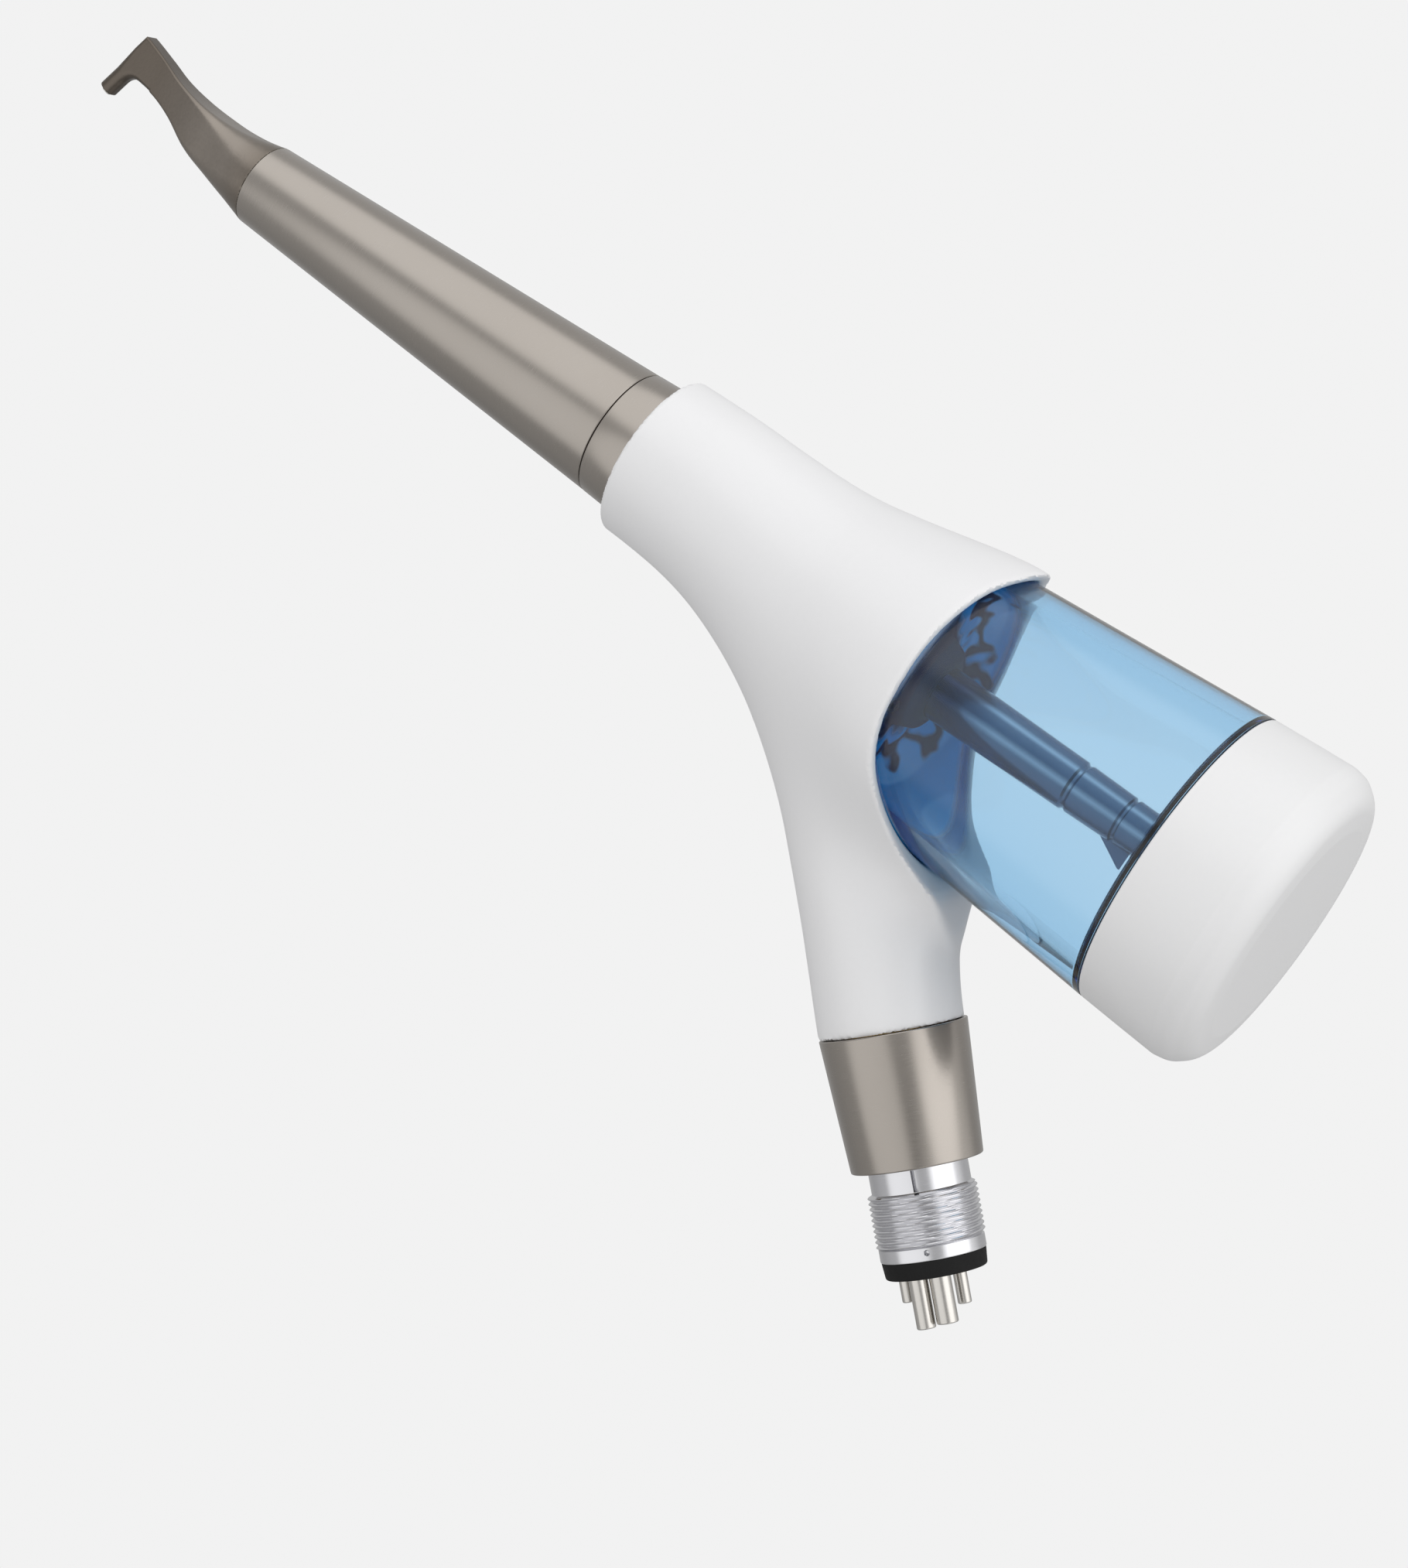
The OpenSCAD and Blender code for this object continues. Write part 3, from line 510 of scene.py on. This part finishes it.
def connector_relief(angle, s, r):
    """The helical thread, the slot in the neck and the small mark hole in the band."""
    move = np.zeros_like(angle)
    off = (angle - SLOT_TURN + math.pi) % (2 * math.pi) - math.pi
    if THREAD_LOW <= s <= THREAD_HIGH and r > THREAD_R - 0.05:
        phase = (s / PITCH - angle / (2 * math.pi)) % 1
        move = -THREAD_DEPTH * np.clip(1.25 * np.abs(2 * phase - 1) - 0.1, 0, 1)
    if 9.75 <= s <= 12.2:
        move = np.where(np.abs(off) * r < SLOT_HALF, -SLOT_DEPTH, move)
    if abs(s - MARK_S) < 0.26 and 5.8 < r < 6.2:
        move = np.where((off * r) ** 2 + (s - MARK_S) ** 2 < MARK_R2, -MARK_DEPTH, move)
    return move


connector = turned("hose_coupling", [
    (0, 2.0), (BAND_R, 2.0, 0.15), *band_rows, (BAND_R, 3.5), (5.85, 3.65), *thread_rows,
    (5.9, THREAD_HIGH + 0.05), (NECK_R, 9.7), *neck_rows, (5.0, 14.2), (5.0, 15.6), (NECK_R, 15.6),
    (NECK_R, 17.9), (0, 17.9)], TAIL, segments=256, relief=connector_relief)
fit(connector, "body", "chrome", "hose_connector")

gasket = turned("gasket_disc", [(0, 0), (5.79, 0, 0.3), (5.98, 2.0, 0.12), (0, 2.0)], TAIL)
fit(gasket, "body", "black_rubber", "hose_gasket")

# Each tube end: its place towards the rear and across, its radius, its bore and its free length.
HOSE_TUBES = {"exhaust_tube": (1.3, -2.6, 1.25, 0.8, 5.5), "drive_air_tube": (-1.2, -2.95, 1.1, 0.7, 5.8),
              "water_tube": (-3.8, -0.3, 0.8, 0.4, 3.0), "chip_air_tube": (1.8, 2.2, 0.8, 0.4, 4.2)}
TUBE_TOP_S = 24.0
TUBE_STEP = 0.2  # the tube is thinner inside the gasket and the tail
for name, (n, y, r, bore, free) in HOSE_TUBES.items():
    slim = r - TUBE_STEP
    tube_end = turned(name + "_end", [
        (bore, -free, 0.12), (r, -free, 0.18), (r, 0.0), (slim, 0.0), (slim, TUBE_TOP_S), (bore, TUBE_TOP_S)],
        TAIL @ Matrix.Translation((n * MM, y * MM, 0)), segments=64)
    fit(tube_end, "body", "steel", name)

chamber = turned("powder_jar", [
    (2.6, -47.6), (6.95, -47.6, 0.3), (6.95, -42.0, 0.4), (12.4, -42.0, 0.8), (15.0, -40.9, 2.6),
    (15.62, CHAMBER_FLOOR_X, 2.0), (18.3, SEAM_X, 0.12), (16.3, SEAM_X), (15.75, -1.2), (15.75, -0.6),
    (16.0, -0.3), (16.0, 0.6), (15.75, 0.9), (15.75, 2.0), (16.0, 2.3), (16.0, 3.1), (15.75, 3.4), (15.75, 4.6),
    (15.6, 5.6, 0.2), (14.2, 5.6, 0.3), (14.2, -1.5, 0.5), (16.38, -2.75, 0.5), (13.8, -35.6, 3.0),
    (11.4, CHAMBER_FLOOR_X, 1.6), (6.4, -38.2, 1.2), (5.2, -35.2, 0.6), (3.4, -34.6, 0.4), (2.6, -34.6)],
    on_x(CHAMBER_Z), segments=192, steps=6)
fit(chamber, "body", "blue_clear", "chamber")

stem = turned("air_stem", [
    (1.5, -49.6), (3.3, -49.6), (3.25, -33.0), (3.05, -16.3, 0.1), (2.8, -16.0, 0.1), (2.8, -15.7, 0.1),
    (2.98, -15.4, 0.1), (2.85, -9.6, 0.1), (2.55, -9.4, 0.1), (2.55, -9.1, 0.1), (2.82, -8.9, 0.1),
    (2.75, -4.4, 0.1), (2.5, -4.2, 0.1), (2.5, -3.9, 0.1), (2.75, -3.7, 0.1), (2.7, 1.5), (1.5, 1.5)],
    on_x(CHAMBER_Z), segments=96)
fit(stem, "body", "grey_clear", "stem_tube")

CAP_FRONT_X = SEAM_X + 0.12
cap = turned("screw_cap", [
    (16.15, CAP_FRONT_X), (18.3, CAP_FRONT_X, 0.18), (18.6, 3.2), (18.88, 8.2, 2.0), (18.55, 10.0, 3.0),
    (16.8, 12.15, 3.5), (13.5, 12.55, 6.0), (0, 12.8), (0, 10.8), (11, 10.2, 1.0), (13.4, 9.0, 0.8),
    (13.6, 7.0), (16.15, 7.0, 0.2)], on_x(CHAMBER_Z), segments=192, steps=8)
fit(cap, "cap", "white_plastic", "cap", look=cap_plastic)

VALVE_N = -2.0  # the valve's axis, in front of the tail's
SPRING_LOW, SPRING_HIGH = 39.05, 42.8
SPRING_R, WIRE_R = 1.1, 0.2


def coil(name, r, low, high, wire, turns=4.5, place=None, steps=36, sides=10):
    """A compression spring with its end turns closed."""
    t = np.linspace(0, 1, int(turns * steps) + 1)
    rise = np.clip((t * turns - 0.9) / (turns - 1.8), 0, 1)
    turn = 2 * math.pi * turns * t
    height = low + wire + (high - low - 2 * wire) * rise
    across = np.stack([np.cos(turn), np.sin(turn), 0 * turn], 1)
    points = []
    for a in np.linspace(0, 2 * math.pi, sides, endpoint=False):
        level = (height + wire * math.sin(a))[:, None]
        points.append(across * (r + wire * math.cos(a)) + np.array((0, 0, 1)) * level)
    points = np.stack(points, 1)
    last = len(t) - 1
    faces = []
    for i in range(last):
        for k in range(sides):
            n = (k + 1) % sides
            faces.append((i * sides + k, (i + 1) * sides + k, (i + 1) * sides + n, i * sides + n))
    faces += [tuple(range(sides)), tuple(last * sides + k for k in reversed(range(sides)))]
    return make_piece(name, points.reshape(-1, 3), faces, place)


spring = coil("valve_spring", SPRING_R, SPRING_LOW, SPRING_HIGH, WIRE_R,
              place=TAIL @ Matrix.Translation((VALVE_N * MM, 0, 0)))
fit(spring, "body", "steel", "check_spring")
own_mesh(spring)

# ---- housing ----

WALL = 1.4
RIM_WALL = 1.6
JAR_HOLE_R = 15.78  # at the chamber's floor
JAR_TAPER = 0.0746
JAR_HOLE_FRONT_X = -40.0
FLARE_LENGTH = 43.8  # along X, in which the flare's axis drops from the barrel's to the chamber's
TAIL_R, TAIL_TAPER, TAIL_SHIFT = 8.17, 0.27, 0.25  # at the bend, and its change along the tail
TAIL_TOP_S, TAPER_LENGTH = 64.6, 30.0
BEND_R = 38.0
BEND_X = -BARREL_Z / math.tan(TAIL_ANGLE) - BEND_R * math.tan(TAIL_ANGLE / 2)
BEND_Z = BARREL_Z - BEND_R
flare_r = smooth_curve([
    (-84, 8.0), (-78.2, 8.17), (-71, 8.75), (-65, 9.5), (-59, 10.8), (-53, 12.4), (-47.2, 14.1), (-41.7, 15.7),
    (-37, 16.9), (-34, 17.4), (-30, 17.6), (-10, 17.7)])
belly = smooth_curve([(20, 1.13), (27, 1.125), (33, 1.1), (41, 1.045), (50, 1.015), (60, 1.0), (90, 1.0)])
RIM = np.array([
    (-31.3, 90), (-31.3, 73), (-33.2, 69.8), (-34.0, 66.5), (-34.4, 62.5), (-34.3, 57.9), (-33.9, 53),
    (-32.4, 48), (-30, 44.3), (-27.2, 41.2), (-23.7, 38.8), (-21.3, 37.4), (-18.9, 34.4), (-15.0, 29.6),
    (-8, 18)], float)
rim_rows = np.concatenate([[0], np.cumsum(np.hypot(*np.diff(RIM, axis=0).T))])
rim_at = [smooth_curve(list(zip(rim_rows, RIM[:, n]))) for n in (0, 1)]
RIM_LINE = np.stack([curve(np.linspace(0, rim_rows[-1], 90)) for curve in rim_at], 1)


def beyond_rim(x, z):
    """Distance in the side view past the rim, towards the chamber's open side."""
    best = np.full(x.shape, 1e9)
    side = np.zeros(x.shape)
    for (x0, z0), (x1, z1) in zip(RIM_LINE[:-1], RIM_LINE[1:]):
        dx, dz = x1 - x0, z1 - z0
        t = np.clip(((x - x0) * dx + (z - z0) * dz) / (dx * dx + dz * dz), 0, 1)
        away = np.hypot(x - x0 - t * dx, z - z0 - t * dz)
        closer = away < best
        best = np.where(closer, away, best)
        side = np.where(closer, dx * (z - z0) - dz * (x - x0), side)
    return np.where(side > 0, best, -best)


def housing_outside(x, y, z):
    """The Y-shaped skin: the flare that opens to the chamber, and the tail that bends down to the hose."""
    share = np.clip((x - COLLAR_REAR_X) / FLARE_LENGTH, 0, 1)
    axis = BARREL_Z - (BARREL_Z - CHAMBER_Z) * share * share * (3 - 2 * share)
    flare = (np.hypot(y, z - axis) - flare_r(x)) * 0.96
    s = x * TAIL_UP[0] + z * TAIL_UP[2]
    n = x * TAIL_REAR[0] + z * TAIL_REAR[2]
    out = np.hypot(x - BEND_X, z - BEND_Z)
    turn = np.arctan2(x - BEND_X, z - BEND_Z)
    bent = (turn < TAIL_ANGLE) & (z > BEND_Z)
    along = np.where(bent, 0, np.clip((TAIL_TOP_S - s) / TAPER_LENGTH, 0, 1))
    n = np.where(bent, out - BEND_R, n)
    n = np.where(x < BEND_X, z - BARREL_Z, n) - TAIL_SHIFT * along
    fuller = np.where(n > 0, 1 + 0.235 * (np.clip(s - 27, 0, 17) / 11.5) ** 2, belly(s))
    tail = np.hypot(np.where(bent, n, n / fuller), y) - (TAIL_R - TAIL_TAPER * along)
    return soft_min(flare, tail, 7.0)


def housing_field(x, y, z):
    """The skin cut at its ends and along the rim, and hollow for the jar, the hoses and the coupling."""
    skin_side = housing_outside(x, y, z)
    past_rim = beyond_rim(x, z)
    s = x * TAIL_UP[0] + z * TAIL_UP[2]
    ends = round_max(np.maximum(COLLAR_REAR_X - x, HOUSING_S + 0.1 - s), skin_side, 0.18)
    open_rim = round_max(ends, past_rim, 0.5)
    off_axis = np.hypot(y, z - CHAMBER_Z)
    cone = (off_axis - (JAR_HOLE_R + (x - CHAMBER_FLOOR_X) * JAR_TAPER)) * 0.997
    jar = round_max(cone, JAR_HOLE_FRONT_X - x, 3.0)
    shell = round_max(open_rim, -jar, 0.3)
    hollow = np.maximum(skin_side + WALL, COLLAR_REAR_X + WALL - x)
    hollow = np.maximum(hollow, past_rim + RIM_WALL)
    hollow = np.minimum(hollow, np.hypot(y, z - BARREL_Z) - 6.9 + np.maximum(x + 70, 0))
    return np.maximum(shell, -hollow)


housing = skin("housing_shell", housing_field, (-78.9, 0, 15.0), (-8.0, 18.6, 76.0),
               0.36)
fit(housing, "body", "white_plastic", "housing")

# ---- spray head ----

head_top = smooth_curve([
    (-166, 66.4), (-161.9, 65.8), (-158.3, 64.75), (-154.9, 63.6), (-151.5, 62.95), (-148, 62.7),
    (-144.9, 62.75), (-142, 63.1), (-138.8, 63.8), (-136, 64.6)])
head_under = smooth_curve([
    (-166, 60.6), (-159.9, 60.5), (-158.1, 60.3), (-154, 59.1), (-150.1, 57.25), (-145.7, 55.9),
    (-142.1, 54.75), (-138.8, 53.6), (-136, 52.6)])
head_half = smooth_curve([
    (-166, 1.2), (-161.3, 1.22), (-157, 1.4), (-153.6, 1.8), (-150, 2.5), (-146.8, 3.3), (-143, 4.3),
    (-140.5, 4.85), (-138.8, 5.1), (-136, 5.4)])
head_corner = smooth_curve([
    (-166, 0.3), (-156, 0.32), (-152, 0.5), (-148, 1.3), (-144, 2.9), (-141, 4.3), (-138.8, 5.09),
    (-136, 5.4)])
SNOUT_END = np.array((-163.88, 57.4))  # X and Z of the nozzle's mouth
SNOUT_R = 1.0
SNOUT_BORE_R = 0.8
SNOUT_LENGTH = 6.5
SNOUT_LEAN = math.radians(21)
SNOUT_UP = np.array((math.sin(SNOUT_LEAN), math.cos(SNOUT_LEAN)))


def head_field(x, y, z):
    """The head's bent, flattened body with its snout, cut off flat at the barrel, and the bore in the snout."""
    top, under = head_top(x), head_under(x)
    middle, high, wide = (top + under) / 2, (top - under) / 2, head_half(x)
    up = (x - SNOUT_END[0]) * SNOUT_UP[0] + (z - SNOUT_END[1]) * SNOUT_UP[1]
    across = (x - SNOUT_END[0]) * SNOUT_UP[1] - (z - SNOUT_END[1]) * SNOUT_UP[0]
    side = soft_min(np.abs(z - middle) - high, np.maximum(across - SNOUT_R, up - SNOUT_LENGTH), 1.5)
    side = np.maximum(side, -across - SNOUT_R)
    corner = np.minimum(head_corner(x), np.minimum(high, wide) - 0.01)
    corner = np.where(x < -158, np.clip((SNOUT_LENGTH - up) / 3.5, 0, 1) * 0.62 + 0.3, corner)
    inner, flank = side + corner, np.abs(y) - wide + corner
    outside = np.hypot(np.maximum(inner, 0), np.maximum(flank, 0))
    whole = outside + np.minimum(np.maximum(inner, flank), 0) - corner
    whole = round_max(whole * 0.92, -up, 0.15)
    whole = round_max(whole, x - BARREL_FRONT_X, 0.05)
    hole = np.maximum(np.hypot(across, y) - SNOUT_BORE_R, up - 3)
    return round_max(whole, -hole, 0.08)


head = skin("spray_head", head_field, (-166.5, 0, 52.4), (-138.2, 5.9, 66.8),
            0.14)
fit(head, "handpiece", "head_metal", "nozzle_head")

# ---- stem's jet ----

jet = turned("jet_head", [
    (1.5, -0.6), (2.36, -0.6), (2.36, -3.2), (3.0, -3.2, 0.2), (3.0, 3.8, 0.3), (2.2, 4.6, 0.3), (0, 4.6),
    (0, 3.2), (1.5, 3.2)], on_x(CHAMBER_Z), segments=96)
fit(jet, "body", "grey_clear", "stem_jet")
BARB = ((-12.0, 2.2), (-7.2, 4.9), (-6.9, 4.9), (-5.6, 2.2))  # X, and how far below the stem's axis
barb_sides = [(0, 1, 2, 3), (7, 6, 5, 4), (0, 4, 5, 1), (1, 5, 6, 2), (2, 6, 7, 3), (3, 7, 4, 0)]
barb_points = [(x, y, CHAMBER_Z - below) for y in (-0.35, 0.35) for x, below in BARB]
barb = make_piece("jet_barb", barb_points, barb_sides)
edge = barb.modifiers.new("edges", "BEVEL")
edge.width, edge.segments = 0.12 * MM, 3
fit(barb, "body", "grey_clear")

# ---- stage ----

BACKGROUND = (0.887, 0.887, 0.887, 1)
FLOOR_Z, FLOOR_R = -900, 18000
DOME_R, DOME_BACK_R = 20000, 20500
floor = turned("floor", [(0, FLOOR_Z), (FLOOR_R, FLOOR_Z), (FLOOR_R, FLOOR_Z - 10), (0, FLOOR_Z - 10)], None,
               segments=48)
dome = np.linspace(-0.3, 1.57, 24)
backdrop = turned("backdrop", [(DOME_R * math.cos(a), DOME_R * math.sin(a)) for a in dome]
                  + [(0, DOME_R), (0, DOME_BACK_R)]
                  + [(DOME_BACK_R * math.cos(a), DOME_BACK_R * math.sin(a)) for a in dome[::-1]], None,
                  segments=48)
pale = bpy.data.materials.new("pale")
pale.use_nodes = True
glow = node(pale.node_tree, "ShaderNodeEmission", Strength=1.0)
glow.inputs["Color"].default_value = BACKGROUND
link(pale.node_tree, glow.outputs[0], pale.node_tree.nodes["Material Output"].inputs["Surface"])
for plain in (floor, backdrop):
    plain.data.materials.append(pale)
    plain.visible_diffuse = plain.visible_glossy = plain.visible_shadow = False

# ---- light ----

world = bpy.data.worlds.new("studio")
bpy.context.scene.world = world
world.use_nodes = True
world_tree = world.node_tree
sky = world_tree.nodes["Background"]
bearing = node(world_tree, "ShaderNodeTexCoord")


def lit_from(direction, wide, narrow, strength):
    """The brightness of one soft panel: direction is to the right, up and towards the camera.

    wide and narrow are the cosines at which it fades out and is at its full strength.
    """
    facing = node(world_tree, "ShaderNodeVectorMath", operation="DOT_PRODUCT")
    towards = direction[0] * right + direction[1] * over - direction[2] * forward
    facing.inputs[1].default_value = towards.normalized()
    link(world_tree, bearing.outputs["Generated"], facing.inputs[0])
    soft = node(world_tree, "ShaderNodeMapRange", interpolation_type="SMOOTHSTEP", From_Min=wide,
                From_Max=narrow, To_Max=strength)
    link(world_tree, facing.outputs["Value"], soft.inputs["Value"])
    return soft.outputs["Result"]


PANELS = [((0, 1, 0.1), -1.0, 0.9, 0.36), ((0.05, 0.86, 0.5), 0.68, 0.86, 0.76),
          ((0.78, 0.12, 0.6), 0.78, 0.93, 0.85), ((-0.67, -0.33, 0.67), 0.73, 0.9, 0.62),
          ((0.8, -0.5, 0.33), 0.5, 0.85, 0.5), ((-0.7, -0.7, 0.2), 0.5, 0.9, 0.12)]
light = 0.32
for panel in PANELS:
    light = calc(world_tree, "ADD", lit_from(*panel), light)
link(world_tree, light, sky.inputs["Strength"])
sky.inputs["Color"].default_value = (1, 1, 1, 1)
bpy.context.scene.view_settings.view_transform = "Standard"
